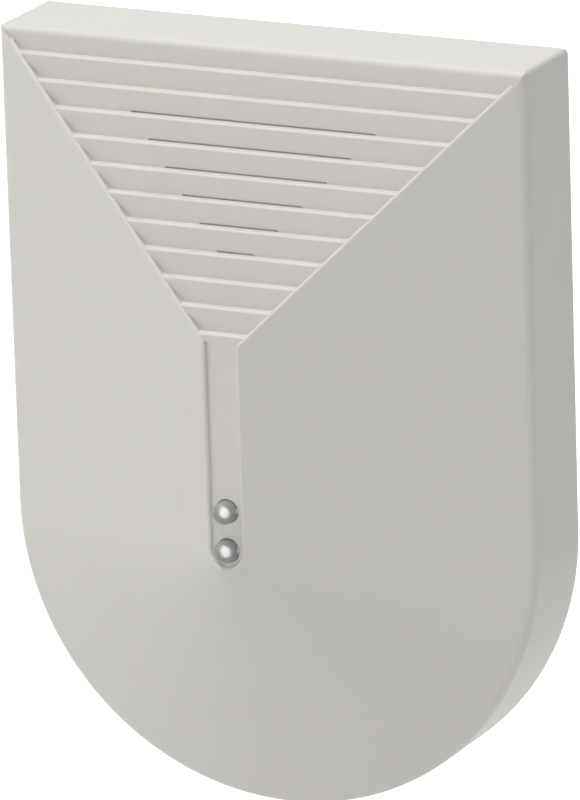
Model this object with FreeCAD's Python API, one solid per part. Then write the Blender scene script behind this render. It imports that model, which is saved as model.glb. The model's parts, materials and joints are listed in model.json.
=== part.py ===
import FreeCAD, Part
import math
import os

# Acoustic glass break sensor, 62 mm wide and 84 mm tall, for a wall.
# X runs to the right, +Y into the wall, +Z up.
# The origin lies on the mounting face, at the centre of the rounded lower end.
# Heights called "out" are distances from the wall, towards the room.

V = FreeCAD.Vector

# Housing
width = 62.0
arc_to_top = 53.15
rim_out = 10.6
ridge_out = 22.8
wall = 2.0
top_corner_radius = 0.6
inner_corner_radius = 0.4
rim_round = 1.2
groove_round = 0.3
diagonal_round = 1.0

# Stepped louvre under the top edge
louvre_drop = 31.6
first_riser = 2.62
lowest_tread_rise = 3.08
riser_count = 11
louvre_set_back = 0.05
top_edge_round = 0.8
tread_round = 0.25

# Sound slots at the feet of the risers
first_slot_riser = 2
slot_count = 6
slot_longest = 28.7
slot_shorter_by = 4.86
slot_height = 0.2

# Groove down the ridge, and the two indicator lamps at its foot
groove_width = 3.55
lower_lamp_z = 0.8
lamp_pitch = 4.35
lamp_hole_radius = 1.35
lamp_radius = 1.25
lamp_proud = 1.9
lamp_length = 5.3
lamp_flange_radius = 1.9
lamp_flange_height = 1.0
lead_width = 0.5
lead_pitch = 2.54
lead_hole_radius = 0.45
spacer_radius = 2.7

# Rear base: a shallow tray that the cover closes over
base_gap = 0.3
base_plate = 2.0
base_wall = 1.5
base_wall_out = 6.5
grip_width = 6.0
grip_out = 8.5
grip_gap = 0.05
grip_heights = (8.0, 40.0)
wall_screw_radius = 2.2
wall_screw_collar = 1.5
wall_screw_collar_out = 3.0
upper_wall_screw_drop = 7.95
lower_wall_screw_inset = 9.0
cable_hole_radius = 4.0
cable_hole_inset = 8.5
cable_hole_angle = 30.4
knock_out_skin = 0.6

# Circuit board and what holds it
boss_out = 4.2
boss_radius = 2.6
board_thickness = 1.6
board_gap = 0.8
board_top_drop = 12.15
board_bottom_inset = 16.0
upper_screw_inset = 5.2
upper_screw_drop = 5.0
lower_screw_inset = 7.8
lower_screw_rise = 5.6
screw_radius = 0.9
screw_length = 4.6
screw_head_radius = 1.9
screw_head_height = 1.4
screw_slot = 0.45
pilot_gap = 0.05
board_screw_hole_gap = 0.35
tail = 1.0
pin_width = 0.6
pin_gap = 0.1

# Microphone in its rubber boot, behind the slots
mic_drop = 6.6
mic_radius = 4.85
mic_height = 4.5
mic_rim = 0.4
felt_radius = 3.4
felt_thickness = 0.3
boot_wall = 1.1
boot_floor = 0.8

# Terminal block
terminal_count = 6
terminal_pitch = 3.5
terminal_end_wall = 0.4
terminal_depth = 7.0
terminal_height = 7.0
terminal_rise = 0.5
terminal_floor = 1.2
terminal_chamfer = 1.6
window_width = 2.6
window_height = 3.8
window_depth = 5.0
clamp_gap = 0.05
clamp_wall = 0.5
clamp_set_in = 0.7
clamp_length = 4.0
clamp_screw_radius = 0.8
clamp_screw_head_radius = 1.25
clamp_screw_head_height = 1.2
well_radius = 1.35

# Tamper switch, pressed by a post in the cover
tamper_inset = 9.0
tamper_z = 12.0
tamper_size = 6.0
tamper_height = 4.0
tamper_floor = 1.4
button_radius = 1.6
button_gap = 0.1
button_out = 1.4
button_lift = 0.3
post_radius = 2.0
post_rib = 0.9
post_gap = 0.1

# Sensitivity trimmer
trimmer_inset = 9.0
trimmer_z = 12.0
trimmer_size = 6.8
trimmer_height = 4.8
rotor_radius = 1.9
rotor_gap = 0.1
rotor_depth = 1.6
rotor_proud = 0.2
rotor_slot_width = 0.6
rotor_slot_depth = 0.9

# Alarm relay
relay_z = 15.0
relay_length = 15.0
relay_width = 7.6
relay_height = 9.0
relay_pin_pitch = 3.4
relay_pin_row = 5.08
relay_edge_round = 0.5

# Jumper header and its two caps
header_x = -9.6
header_z = 3.6
header_pitch = 2.54
header_column_count = 3
header_base = 2.5
header_pin_out = 8.0
cap_count = 2
cap_height = 6.0
cap_gap = 0.12
header_pin_gap = 0.08

# Surface mounted parts
chip_body_width = 3.9
chip_body_height = 1.35
chip_stand_off = 0.15
chip_lead_pitch = 1.27
chip_lead_width = 0.42
chip_lead_reach = 1.05
chip_lead_thickness = 0.2
processor_place = (-14.6, 20.4)
processor_lead_count = 7
amplifier_x = 12.6
amplifier_drop = 5.6
amplifier_lead_count = 4
left_capacitor_x = -17.6
left_capacitor_rise = 11.6
right_capacitor_inset = 17.0
right_capacitor_rise = 12.4
capacitor_radius = 3.15
capacitor_height = 5.6
capacitor_rim = 0.4
capacitor_foot = 6.6
capacitor_foot_height = 1.0
capacitor_foot_chamfer = 1.2
crystal_place = (13.8, 20.4)
crystal_length = 10.2
crystal_width = 3.8
crystal_height = 3.4
crystal_flange = 0.4
crystal_pin_pitch = 4.88
regulator_inset = 8.8
regulator_rise = 10.4
regulator_length = 6.5
regulator_width = 3.5
regulator_height = 1.6
regulator_tab = 3.0
regulator_reach = 1.6
regulator_lead_pitch = 2.3
regulator_lead_width = 0.7
diode_insets = (13.0, 7.5)
diode_rise = 5.2
diode_length = 4.3
diode_width = 2.6
diode_height = 2.2
chip_length = 2.0
chip_width = 1.25
resistor_height = 0.5
resistor_inset = 13.2
resistor_rise = 3.7
resistor_column_count = 4
resistor_row_count = 2
resistor_spacing = (2.9, 2.2)
ceramic_height = 0.9
ceramic_x = 8.2
ceramic_row_count = 3
ceramic_spacing = 2.4

# Worked out from the sizes above
half_width = width / 2
facet_slope = (ridge_out - rim_out) / half_width
louvre_slope = (ridge_out - rim_out) / louvre_drop
riser_pitch = (louvre_drop - first_riser - lowest_tread_rise) / (riser_count - 1)
skin = wall * math.hypot(1, facet_slope)
board_back = boss_out
board_front = boss_out + board_thickness
lamp_heights = (lower_lamp_z, lower_lamp_z + lamp_pitch)
base_inset = wall + base_gap
board_inset = base_inset + base_wall + board_gap
board_half = half_width - board_inset
board_top = arc_to_top - board_top_drop
board_bottom = board_bottom_inset - half_width
upper_screw_z = board_top - upper_screw_drop
lower_screw_z = board_bottom + lower_screw_rise
upper_wall_screw_z = arc_to_top - upper_wall_screw_drop
lower_wall_screw_z = lower_wall_screw_inset - half_width
cable_hole_x = (half_width - cable_hole_inset) * math.sin(math.radians(cable_hole_angle))
cable_hole_z = -(half_width - cable_hole_inset) * math.cos(math.radians(cable_hole_angle))
mic_z = board_top - mic_drop
amplifier_z = board_top - amplifier_drop
terminal_z = board_bottom + terminal_rise + terminal_depth / 2
tamper_x = tamper_inset - board_half
trimmer_x = board_half - trimmer_inset
capacitor_places = (
    (left_capacitor_x, lower_screw_z + left_capacitor_rise),
    (board_half - right_capacitor_inset, lower_screw_z + right_capacitor_rise),
)
regulator_place = (board_half - regulator_inset, lower_screw_z + regulator_rise)
diode_places = [(inset - board_half, lower_screw_z + diode_rise) for inset in diode_insets]
resistor_corner = (board_half - resistor_inset, lower_screw_z + resistor_rise)
beyond = 1.0


def block(x0, x1, out0, out1, z0, z1):
    return Part.makeBox(x1 - x0, out1 - out0, z1 - z0, V(x0, -out1, z0))


def centred(x, z, length, depth, out0, out1):
    return block(x - length / 2, x + length / 2, out0, out1, z - depth / 2, z + depth / 2)


def rod(x, z, radius, out0, out1):
    return Part.makeCylinder(radius, out1 - out0, V(x, -out0, z), V(0, -1, 0))


def joined(first, others):
    return first.fuse(list(others)).removeSplitter()


def mirrored_pair(place):
    return ((-place[0], place[1]), place)


def board_screw_places():
    upper = mirrored_pair((board_half - upper_screw_inset, upper_screw_z))
    lower = mirrored_pair((board_half - lower_screw_inset, lower_screw_z))
    return upper + lower


# Height of the tread at the foot of riser number n, counted from 0 at the top.
def tread_z(n):
    return arc_to_top - first_riser - n * riser_pitch


# Distance from the wall of the louvre's sloping plane, in which all the steps end.
def louvre_at(z):
    return rim_out - louvre_set_back + louvre_slope * (arc_to_top - z)


# Distance of riser number n from the wall.
def riser_at(n):
    return louvre_at(arc_to_top if n == 0 else tread_z(n - 1))


def groove_floor():
    return riser_at(riser_count)


def lamp_tip():
    return groove_floor() + lamp_proud


# The housing's outline as a slab: straight sides and top, half a circle below.
def outline_slab(inset, out0, out1):
    half = half_width - inset
    top = arc_to_top - inset
    corner = max(top_corner_radius - inset, inner_corner_radius)
    diagonal = corner * (1 - math.sqrt(0.5))
    y = -out0
    left_low = V(-half, y, 0)
    left_high = V(-half, y, top - corner)
    left_mid = V(-half + diagonal, y, top - diagonal)
    top_left = V(-half + corner, y, top)
    top_right = V(half - corner, y, top)
    right_mid = V(half - diagonal, y, top - diagonal)
    right_high = V(half, y, top - corner)
    right_low = V(half, y, 0)
    edges = [
        Part.makeLine(left_low, left_high),
        Part.Arc(left_high, left_mid, top_left).toShape(),
        Part.makeLine(top_left, top_right),
        Part.Arc(top_right, right_mid, right_high).toShape(),
        Part.makeLine(right_high, right_low),
        Part.Arc(right_low, V(0, y, -half), left_low).toShape(),
    ]
    return Part.Face(Part.Wire(edges)).extrude(V(0, out0 - out1, 0))


# All that lies behind the two flat facets and the half cone under them.
def roof_solid(set_back, reach, top):
    ridge = ridge_out - set_back
    eave = ridge - facet_slope * reach
    profile = [V(0, 0, 0), V(reach, 0, 0), V(reach, -eave, 0), V(0, -ridge, 0), V(0, 0, 0)]
    half_profile = Part.Face(Part.makePolygon(profile))
    lower = half_profile.revolve(V(0, 0, 0), V(0, 1, 0), 180)
    if lower.BoundBox.ZMax > beyond:
        lower = half_profile.revolve(V(0, 0, 0), V(0, -1, 0), 180)
    right = half_profile.extrude(V(0, 0, top))
    left = right.mirror(V(0, 0, 0), V(1, 0, 0))
    return joined(right, [left, lower])


# A closed face across the width, from (out, z, radius) corners that turn square where rounded.
def rounded_profile(corners, x):
    points = [V(x, -out, z) for out, z, radius in corners]
    starts = []
    ends = []
    edges = []
    for n, (out, z, radius) in enumerate(corners):
        to_last = (points[n - 1] - points[n]).normalize()
        to_next = (points[(n + 1) % len(points)] - points[n]).normalize()
        starts.append(points[n] + to_last * radius)
        ends.append(points[n] + to_next * radius)
        if radius:
            middle = points[n] + (to_last + to_next) * radius * (1 - math.sqrt(0.5))
            edges.append(Part.Arc(starts[n], middle, ends[n]).toShape())
    for n in range(len(corners)):
        following = starts[(n + 1) % len(corners)]
        if ends[n].distanceToPoint(following) > 1e-6:
            edges.append(Part.makeLine(ends[n], following))
    return Part.Face(Part.Wire(Part.__sortEdges__(edges)))


# The open space in front of the louvre's steps, for the whole width.
def louvre_space(edge_radius, step_radius):
    front = ridge_out + wall + beyond
    far = half_width + beyond
    above = arc_to_top + wall + beyond
    below = arc_to_top - louvre_drop - beyond
    top_out = riser_at(0)
    corners = [
        (front, above, 0),
        (top_out - edge_radius, above, 0),
    ]
    if edge_radius:
        corners.append((top_out - edge_radius, arc_to_top, 0))
        corners.append((top_out, arc_to_top, edge_radius))
    for n in range(riser_count):
        corners.append((riser_at(n), tread_z(n), 0))
        corners.append((riser_at(n + 1), tread_z(n), step_radius))
    corners.append((riser_at(riser_count), below, 0))
    corners.append((front, below, 0))
    return rounded_profile(corners, -far).extrude(V(2 * far, 0, 0))


# The same space in front of the sloping plane alone.
def sloping_space():
    front = ridge_out + wall + beyond
    far = half_width + beyond
    above = arc_to_top + wall
    below = arc_to_top - louvre_drop - wall
    corners = [
        (front, above, 0),
        (louvre_at(above), above, 0),
        (louvre_at(below), below, 0),
        (front, below, 0),
    ]
    return rounded_profile(corners, -far).extrude(V(2 * far, 0, 0))


# The triangle that the two diagonals frame, as a prism towards the room.
def louvre_triangle():
    rise = wall + beyond
    spread = half_width * (louvre_drop + rise) / louvre_drop
    corners = [
        V(0, 0, arc_to_top - louvre_drop),
        V(spread, 0, arc_to_top + rise),
        V(-spread, 0, arc_to_top + rise),
        V(0, 0, arc_to_top - louvre_drop),
    ]
    return Part.Face(Part.makePolygon(corners)).extrude(V(0, -ridge_out - wall - beyond, 0))


# The outer form, with its rim rounded from one top corner round to the other.
def cover_form():
    reach = half_width + wall
    above = arc_to_top + wall
    roof = roof_solid(0, reach, above)
    strip = block(-half_width, half_width, 0, ridge_out + beyond, 0, above)
    bowl = rod(0, 0, half_width, 0, ridge_out + beyond)
    form = roof.common(joined(strip, [bowl]))
    rim = []
    for edge in form.Edges:
        box = edge.BoundBox
        if abs(box.YMin + rim_out) < 0.01 and abs(box.YMax + rim_out) < 0.01:
            rim.append(edge)
    form = form.makeFillet(min(rim_round, wall * 0.9), rim)
    return form.common(outline_slab(0, -beyond, ridge_out + beyond))


# The space inside the cover, which follows the steps at the same wall.
def cover_space():
    roof = roof_solid(skin, half_width, arc_to_top)
    space = roof.common(outline_slab(wall, 0, ridge_out))
    steps = louvre_space(0, 0)
    steps.translate(V(0, wall, -wall))
    space = space.cut(steps)
    deepest = groove_floor() - wall
    front = block(-half_width, half_width, deepest, ridge_out, -half_width, arc_to_top)
    mouth = outline_slab(wall, -beyond, beyond)
    return joined(space.cut(front), [mouth])


# The groove runs on upwards, where the louvre's space then takes its upper end away.
def groove():
    half = groove_width / 2
    front = ridge_out + beyond
    straight = block(-half, half, groove_floor(), front, lower_lamp_z, arc_to_top + wall)
    return joined(straight, [rod(0, lower_lamp_z, half, groove_floor(), front)])


# The edges that the groove's sides and round end share with the facets and the cone.
def groove_edges(form):
    found = []
    for edge in form.Edges:
        middle = edge.valueAt((edge.FirstParameter + edge.LastParameter) / 2)
        across = math.hypot(middle.x, min(middle.z, 0))
        on_facet = abs(-middle.y - (ridge_out - facet_slope * across)) < 0.005
        beside = abs(abs(middle.x) - groove_width / 2) < 0.005
        from_lamp = math.hypot(middle.x, middle.z - lower_lamp_z)
        round_end = abs(from_lamp - groove_width / 2) < 0.005 and middle.z < lower_lamp_z
        if on_facet and (beside or round_end):
            found.append(edge)
    return found


# What rounding the right diagonal takes off, between the facet and the steps' plane.
def diagonal_rounding():
    lower = louvre_set_back / louvre_slope
    top = V(half_width, -rim_out, arc_to_top - lower)
    apex = V(0, -ridge_out, arc_to_top - louvre_drop - lower)
    along = (apex - top).normalize()
    facet_out = V(facet_slope, -1, 0).normalize()
    steps_out = V(0, -1, louvre_slope).normalize()
    on_facet = facet_out.cross(along).normalize()
    if on_facet.x < 0:
        on_facet = on_facet * -1
    on_steps = steps_out.cross(along).normalize()
    if on_steps.x > 0:
        on_steps = on_steps * -1
    half_angle = on_facet.getAngle(on_steps) / 2
    inward = (on_facet + on_steps).normalize()
    start = top - along * wall
    reach = diagonal_round / math.tan(half_angle)
    first = start + on_facet * reach
    last = start + on_steps * reach
    middle = start + inward * (diagonal_round / math.sin(half_angle) - diagonal_round)
    outside = start - inward * diagonal_round
    edges = [
        Part.Arc(first, middle, last).toShape(),
        Part.makeLine(last, outside),
        Part.makeLine(outside, first),
    ]
    return Part.Face(Part.Wire(edges)).extrude(apex - start)


def sound_slots():
    slots = []
    for n in range(slot_count):
        riser = first_slot_riser + n
        length = slot_longest - n * slot_shorter_by
        foot = tread_z(riser)
        back = riser_at(riser) - wall - louvre_slope * riser_pitch - slot_height
        slots.append(block(-length / 2, length / 2, back, riser_at(riser), foot, foot + slot_height))
    return slots


# A cross-shaped post that reaches from the cover to the tamper button.
def tamper_post(space):
    tip = board_front + tamper_height + button_out + post_gap
    across = centred(tamper_x, tamper_z, 2 * post_radius, post_rib, tip, ridge_out)
    upright = centred(tamper_x, tamper_z, post_rib, 2 * post_radius, tip, ridge_out)
    foot = rod(tamper_x, tamper_z, post_radius, tip, tip + post_rib)
    return joined(across, [upright, foot]).common(space)


def front_cover():
    space = cover_space()
    triangle = louvre_triangle()
    form = cover_form().cut(groove())
    form = form.makeFillet(groove_round, groove_edges(form))
    form = form.cut(sloping_space().common(triangle))
    right = diagonal_rounding()
    form = form.cut([right, right.mirror(V(0, 0, 0), V(1, 0, 0))])
    cover = form.cut(louvre_space(top_edge_round, tread_round).common(triangle))
    cover = cover.cut([space] + sound_slots())
    lamp_holes = [rod(0, z, lamp_hole_radius, wall, ridge_out + beyond) for z in lamp_heights]
    return joined(cover.cut(lamp_holes), [tamper_post(space)])


def grip_pads():
    pads = []
    outer = half_width - wall - grip_gap
    inner = half_width - base_inset - base_wall
    for z in grip_heights:
        low = z - grip_width / 2
        high = z + grip_width / 2
        pads.append(block(inner, outer, 0, grip_out, low, high))
        pads.append(block(-outer, -inner, 0, grip_out, low, high))
    return pads


def rear_base():
    tray = outline_slab(base_inset, 0, base_wall_out)
    tray = tray.cut(outline_slab(base_inset + base_wall, base_plate, base_wall_out + beyond))
    screws = ((0, upper_wall_screw_z), (0, lower_wall_screw_z))
    collar = wall_screw_radius + wall_screw_collar
    raised = [rod(x, z, collar, 0, wall_screw_collar_out) for x, z in screws]
    raised += [rod(x, z, boss_radius, 0, boss_out) for x, z in board_screw_places()]
    base = joined(tray, raised + grip_pads())
    holes = [rod(x, z, wall_screw_radius, -beyond, boss_out) for x, z in screws]
    holes.append(rod(-cable_hole_x, cable_hole_z, cable_hole_radius, -beyond, base_plate + beyond))
    holes.append(rod(cable_hole_x, cable_hole_z, cable_hole_radius, knock_out_skin, base_plate + beyond))
    pilot_floor = board_front - screw_length - pilot_gap
    for x, z in board_screw_places():
        holes.append(rod(x, z, screw_radius + pilot_gap, pilot_floor, boss_out + beyond))
    return base.cut(holes)


def lamp_lead_places():
    return [(side * lead_pitch / 2, z) for z in lamp_heights for side in (-1, 1)]


def mic_pin_places():
    return [(side * lead_pitch / 2, mic_z) for side in (-1, 1)]


def terminal_places():
    first = -(terminal_count - 1) * terminal_pitch / 2
    return [(first + n * terminal_pitch, terminal_z) for n in range(terminal_count)]


def relay_pin_places():
    columns = [(n - 1.5) * relay_pin_pitch for n in range(4)]
    return [(x, relay_z + side * relay_pin_row / 2) for x in columns for side in (-1, 1)]


def header_pin_places():
    middle = (header_column_count - 1) / 2
    places = []
    for n in range(header_column_count):
        x = header_x + (n - middle) * header_pitch
        places.append((x, header_z - header_pitch / 2))
        places.append((x, header_z + header_pitch / 2))
    return places


def corner_pin_places(x, z, size):
    inset = size / 2 - pin_width
    return [(x + sx * inset, z + sz * inset) for sx in (-1, 1) for sz in (-1, 1)]


def crystal_pin_places():
    x, z = crystal_place
    return [(x - crystal_pin_pitch / 2, z), (x + crystal_pin_pitch / 2, z)]


def pins(places, out1):
    return [centred(x, z, pin_width, pin_width, board_back - tail, out1) for x, z in places]


def circuit_board():
    board = outline_slab(board_inset, board_back, board_front)
    span = block(-half_width, half_width, board_back, board_front, board_bottom, board_top)
    small = mic_pin_places() + terminal_places() + relay_pin_places() + header_pin_places()
    small += corner_pin_places(tamper_x, tamper_z, tamper_size)
    small += corner_pin_places(trimmer_x, trimmer_z, trimmer_size)
    small += crystal_pin_places()
    low = board_back - beyond
    high = board_front + beyond
    side = pin_width + 2 * pin_gap
    holes = [centred(x, z, side, side, low, high) for x, z in small + lamp_lead_places()]
    clear = screw_radius + board_screw_hole_gap
    holes += [rod(x, z, clear, low, high) for x, z in board_screw_places()]
    return board.common(span).cut(holes)


def board_screws():
    screws = []
    for x, z in board_screw_places():
        head_top = board_front + screw_head_height
        head = rod(x, z, screw_head_radius, board_front, head_top)
        head = head.makeChamfer(screw_head_height / 3, [top_circle(head, head_top)])
        shank = rod(x, z, screw_radius, board_front - screw_length, board_front)
        screw = joined(head, [shank])
        arm = screw_head_radius * 1.1
        cut_floor = head_top - screw_head_height / 2
        cross = [
            centred(x, z, arm, screw_slot, cut_floor, head_top + beyond),
            centred(x, z, screw_slot, arm, cut_floor, head_top + beyond),
        ]
        screws.append(screw.cut(cross))
    return Part.makeCompound(screws)


# The round edge of a rod at one distance from the wall.
def top_circle(shape, out):
    for edge in shape.Edges:
        box = edge.BoundBox
        if abs(box.YMin + out) < 0.001 and abs(box.YMax + out) < 0.001:
            return edge
    return None


def lamp(z):
    tip = lamp_tip()
    back = tip - lamp_length
    body = rod(0, z, lamp_radius, back, tip - lamp_radius)
    flange = rod(0, z, lamp_flange_radius, back, back + lamp_flange_height)
    dome = Part.makeSphere(lamp_radius, V(0, lamp_radius - tip, z))
    return joined(body, [flange, dome])


def lamp_leads():
    back = lamp_tip() - lamp_length
    bars = [centred(x, z, lead_width, lead_width, board_back - tail, back) for x, z in lamp_lead_places()]
    return Part.makeCompound(bars)


def lamp_spacer():
    back = lamp_tip() - lamp_length
    middle = block(-spacer_radius, spacer_radius, board_front, back, *lamp_heights)
    ends = [rod(0, z, spacer_radius, board_front, back) for z in lamp_heights]
    bores = [rod(x, z, lead_hole_radius, 0, back + beyond) for x, z in lamp_lead_places()]
    return joined(middle, ends).cut(bores)


def microphone_boot():
    front = board_front + boot_floor + mic_height
    boot = rod(0, mic_z, mic_radius + boot_wall, board_front, front)
    pocket = rod(0, mic_z, mic_radius, board_front + boot_floor, front + beyond)
    bore = pin_width / math.sqrt(2) + pin_gap
    return boot.cut([pocket] + [rod(x, z, bore, 0, front) for x, z in mic_pin_places()])


def microphone_capsule():
    back = board_front + boot_floor
    can = rod(0, mic_z, mic_radius, back, back + mic_height)
    recess = rod(0, mic_z, felt_radius, back + mic_height - felt_thickness, back + mic_height + beyond)
    can = can.makeChamfer(mic_rim, [top_circle(can, back + mic_height)]).cut(recess)
    return joined(can, pins(mic_pin_places(), back))


def microphone_felt():
    front = board_front + boot_floor + mic_height
    return rod(0, mic_z, felt_radius, front - felt_thickness, front)


def terminal_block():
    length = terminal_count * terminal_pitch + 2 * terminal_end_wall
    low = terminal_z - terminal_depth / 2
    high = terminal_z + terminal_depth / 2
    top = board_front + terminal_height
    x = -length / 2
    profile = [
        V(x, -board_front, low),
        V(x, -board_front, high),
        V(x, -(top - terminal_chamfer), high),
        V(x, -top, high - terminal_chamfer),
        V(x, -top, low + terminal_chamfer),
        V(x, -(top - terminal_chamfer), low),
        V(x, -board_front, low),
    ]
    body = Part.Face(Part.makePolygon(profile)).extrude(V(length, 0, 0))
    floor = board_front + terminal_floor
    cuts = []
    bore = pin_width / math.sqrt(2) + pin_gap
    for x, z in terminal_places():
        half = window_width / 2
        window = block(x - half, x + half, floor, floor + window_height, low - beyond, low + window_depth)
        cuts.append(window)
        cuts.append(rod(x, z, well_radius, floor + window_height / 2, top + beyond))
        cuts.append(rod(x, z, bore, board_back, floor + beyond))
    return body.cut(cuts)


# Rising clamp cages, one in each window, on the pins that carry them.
def terminal_clamps():
    low = terminal_z - terminal_depth / 2 + clamp_set_in
    floor = board_front + terminal_floor + clamp_gap
    top = floor + window_height - 2 * clamp_gap
    half = window_width / 2 - clamp_gap
    cages = []
    for x, z in terminal_places():
        cage = block(x - half, x + half, floor, top, low, low + clamp_length)
        throat = block(
            x - half + clamp_wall,
            x + half - clamp_wall,
            floor + clamp_wall,
            top - clamp_wall,
            low - beyond,
            low + clamp_length + beyond,
        )
        thread = rod(x, z, clamp_screw_radius + clamp_gap, floor + clamp_wall, top + beyond)
        pin = centred(x, z, pin_width, pin_width, board_back - tail, floor)
        cages.append(joined(cage.cut([throat, thread]), [pin]))
    return Part.makeCompound(cages)


def terminal_screws():
    cage_top = board_front + terminal_floor + window_height - clamp_gap
    head_back = cage_top + clamp_wall
    head_top = head_back + clamp_screw_head_height
    screws = []
    for x, z in terminal_places():
        head = rod(x, z, clamp_screw_head_radius, head_back, head_top)
        shank = rod(x, z, clamp_screw_radius, cage_top - 2 * clamp_wall, head_back)
        across = 2 * clamp_screw_head_radius + beyond
        slot = centred(x, z, across, screw_slot, head_top - clamp_wall, head_top + beyond)
        screws.append(joined(head, [shank]).cut(slot))
    return Part.makeCompound(screws)


def tamper_switch_body():
    front = board_front + tamper_height
    body = centred(tamper_x, tamper_z, tamper_size, tamper_size, board_front, front)
    bore = rod(tamper_x, tamper_z, button_radius + button_gap, board_front + tamper_floor, front + beyond)
    legs = pins(corner_pin_places(tamper_x, tamper_z, tamper_size), board_front)
    return joined(body.cut(bore), legs)


# The plunger, held in its bore, at the height that the closed cover leaves it.
def tamper_switch_button():
    back = board_front + tamper_floor + button_lift
    front = board_front + tamper_height + button_out
    button = rod(tamper_x, tamper_z, button_radius, back, front)
    return button.makeChamfer(button_lift, [top_circle(button, front)])


def trimmer_body():
    front = board_front + trimmer_height
    body = centred(trimmer_x, trimmer_z, trimmer_size, trimmer_size, board_front, front)
    seat = rod(trimmer_x, trimmer_z, rotor_radius + rotor_gap, front - rotor_depth, front + beyond)
    legs = pins(corner_pin_places(trimmer_x, trimmer_z, trimmer_size), board_front)
    return joined(body.cut(seat), legs)


def trimmer_rotor():
    front = board_front + trimmer_height + rotor_proud
    back = board_front + trimmer_height - rotor_depth + rotor_gap
    rotor = rod(trimmer_x, trimmer_z, rotor_radius, back, front)
    floor = front - rotor_slot_depth
    slot = centred(trimmer_x, trimmer_z, rotor_radius * 1.5, rotor_slot_width, floor, front + beyond)
    point = block(
        trimmer_x - rotor_slot_width / 2,
        trimmer_x + rotor_slot_width / 2,
        floor,
        front + beyond,
        trimmer_z,
        trimmer_z + rotor_radius * 0.75,
    )
    return rotor.cut([slot, point])


def alarm_relay():
    front = board_front + relay_height
    body = centred(0, relay_z, relay_length, relay_width, board_front, front)
    corners = [edge for edge in body.Edges if edge.BoundBox.YLength > relay_height / 2]
    body = body.makeFillet(relay_edge_round, corners)
    return joined(body, pins(relay_pin_places(), board_front))


def jumper_header():
    length = header_column_count * header_pitch
    front = board_front + header_base
    body = centred(header_x, header_z, length, 2 * header_pitch, board_front, front)
    side = pin_width + 2 * header_pin_gap
    holes = [centred(x, z, side, side, 0, front + beyond) for x, z in header_pin_places()]
    return body.cut(holes)


def header_pins():
    return Part.makeCompound(pins(header_pin_places(), board_front + header_pin_out))


def jumper_caps():
    back = board_front + header_base
    front = back + cap_height
    side = pin_width + 2 * header_pin_gap
    places = header_pin_places()
    caps = []
    for n in range(cap_count):
        pair = places[2 * n:2 * n + 2]
        cap = centred(pair[0][0], header_z, header_pitch - cap_gap, 2 * header_pitch - cap_gap, back, front)
        top = front - header_pin_gap
        caps.append(cap.cut([centred(x, z, side, side, back - beyond, top) for x, z in pair]))
    return Part.makeCompound(caps)


# One gull-wing lead that leaves a chip's long side at one height and lands on the board.
def gull_lead(x, z_side, direction):
    low = board_front
    middle = board_front + chip_stand_off + chip_body_height / 2
    reach = chip_lead_reach * direction
    knee = reach * 0.4
    thick = chip_lead_thickness
    step = thick * direction
    left = x - chip_lead_width / 2
    points = [
        V(left, -middle, z_side),
        V(left, -middle, z_side + knee),
        V(left, -(low + thick), z_side + knee),
        V(left, -(low + thick), z_side + reach),
        V(left, -low, z_side + reach),
        V(left, -low, z_side + knee - step),
        V(left, -(middle - thick), z_side + knee - step),
        V(left, -(middle - thick), z_side),
        V(left, -middle, z_side),
    ]
    return Part.Face(Part.makePolygon(points)).extrude(V(chip_lead_width, 0, 0))


def small_chip(place, leads_per_side):
    x, z = place
    length = leads_per_side * chip_lead_pitch
    back = board_front + chip_stand_off
    body = centred(x, z, length, chip_body_width, back, back + chip_body_height)
    leads = []
    for n in range(leads_per_side):
        lead_x = x + (n - (leads_per_side - 1) / 2) * chip_lead_pitch
        leads.append(gull_lead(lead_x, z + chip_body_width / 2, 1))
        leads.append(gull_lead(lead_x, z - chip_body_width / 2, -1))
    return joined(body, leads)


def electrolytic_capacitors():
    parts = []
    for x, z in capacitor_places:
        foot_top = board_front + capacitor_foot_height
        foot = centred(x, z, capacitor_foot, capacitor_foot, board_front, foot_top)
        corners = [e for e in foot.Edges if e.BoundBox.YLength > capacitor_foot_height / 2]
        beside = [e for e in corners if e.BoundBox.ZMax > z]
        foot = foot.makeChamfer(capacitor_foot_chamfer, beside)
        can_top = board_front + capacitor_height
        can = rod(x, z, capacitor_radius, foot_top, can_top)
        can = can.makeChamfer(capacitor_rim, [top_circle(can, can_top)])
        parts.append(joined(foot, [can]))
    return Part.makeCompound(parts)


def crystal():
    x, z = crystal_place
    front = board_front + crystal_height

    def can(length, depth, out0, out1):
        radius = depth / 2
        offset = length / 2 - radius
        ends = [rod(x + side * offset, z, radius, out0, out1) for side in (-1, 1)]
        return joined(centred(x, z, 2 * offset, depth, out0, out1), ends)

    flange_top = board_front + crystal_flange
    wider = 2 * crystal_flange
    flange = can(crystal_length + wider, crystal_width + wider, board_front, flange_top)
    body = can(crystal_length, crystal_width, flange_top, front)
    return joined(flange, [body] + pins(crystal_pin_places(), board_front))


def voltage_regulator():
    x, z = regulator_place
    front = board_front + regulator_height
    body = centred(x, z, regulator_length, regulator_width, board_front, front)
    side = regulator_width / 2
    foot = board_front + regulator_height / 3
    tab = block(
        x - regulator_tab / 2,
        x + regulator_tab / 2,
        board_front,
        foot,
        z + side,
        z + side + regulator_reach,
    )
    half = regulator_lead_width / 2
    leads = []
    for n in (-1, 0, 1):
        middle = x + n * regulator_lead_pitch
        tip = z - side - regulator_reach
        leads.append(block(middle - half, middle + half, board_front, foot, tip, z - side))
    return joined(body, [tab] + leads)


def protection_diodes():
    front = board_front + diode_height
    return Part.makeCompound(
        [centred(x, z, diode_length, diode_width, board_front, front) for x, z in diode_places]
    )


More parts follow.
